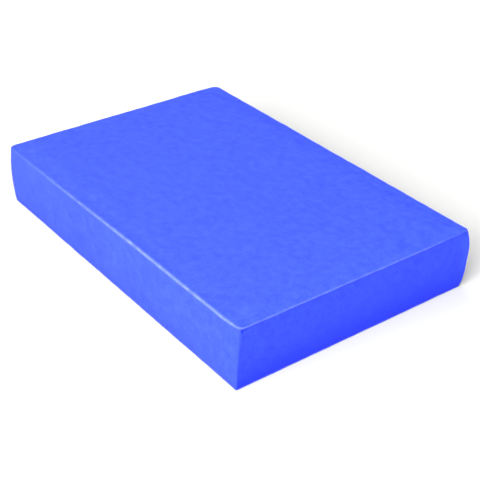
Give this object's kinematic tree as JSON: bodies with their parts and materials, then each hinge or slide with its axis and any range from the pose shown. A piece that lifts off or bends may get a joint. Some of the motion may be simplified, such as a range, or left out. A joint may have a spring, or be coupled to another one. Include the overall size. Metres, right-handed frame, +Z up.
{
  "type": "balance pad",
  "caption": "Flat rectangular foam balance pad in a sewn wipe-clean cover, with a zip along its back side, for standing and rehabilitation exercises.",
  "frame": {"origin": "centre of the underside, where the pad rests on the floor", "axes": "+X along the long sides, towards the end with the two sharp corners; +Y towards the long side with the zip; +Z up through the thickness"},
  "size_m": [0.45, 0.3047, 0.07],
  "materials": {
    "cover_fabric": "satin",
    "foam": "matte",
    "zip_tape": "matte",
    "zip_coil": "satin",
    "zip_metal": "gloss",
    "thread": "satin"
  },
  "bodies": {
    "cover": {"foam_core": "foam", "top_panel": "cover_fabric", "base_panel": "cover_fabric", "long_side_band": "cover_fabric", "short_side_band": "cover_fabric", "zip_strip_upper": "cover_fabric", "zip_strip_lower": "cover_fabric", "zip_tape_upper": "zip_tape", "zip_tape_lower": "zip_tape", "zip_coil_upper": "zip_coil", "zip_coil_lower": "zip_coil", "zip_top_stops": "zip_metal", "zip_bottom_stop": "zip_metal", "top_seam_thread": "thread", "base_seam_thread": "thread", "corner_seam_thread": "thread", "zip_end_seam_threads": "thread", "zip_topstitch_upper": "thread", "zip_topstitch_lower": "thread"},
    "slider": {"zip_slider": "zip_metal"},
    "pull": {"zip_pull": "zip_metal"}
  },
  "joints": [
    {"name": "zip_slide", "type": "slide", "parent": "cover", "child": "slider", "axis": [-1, 0, 0], "range_m": [0, 0.34]},
    {"name": "pull_swing", "type": "hinge", "parent": "slider", "child": "pull", "pos_m": [0.1726, 0.1534, 0.035], "axis": [0, 0, -1], "range_deg": [0, 175]}
  ]
}
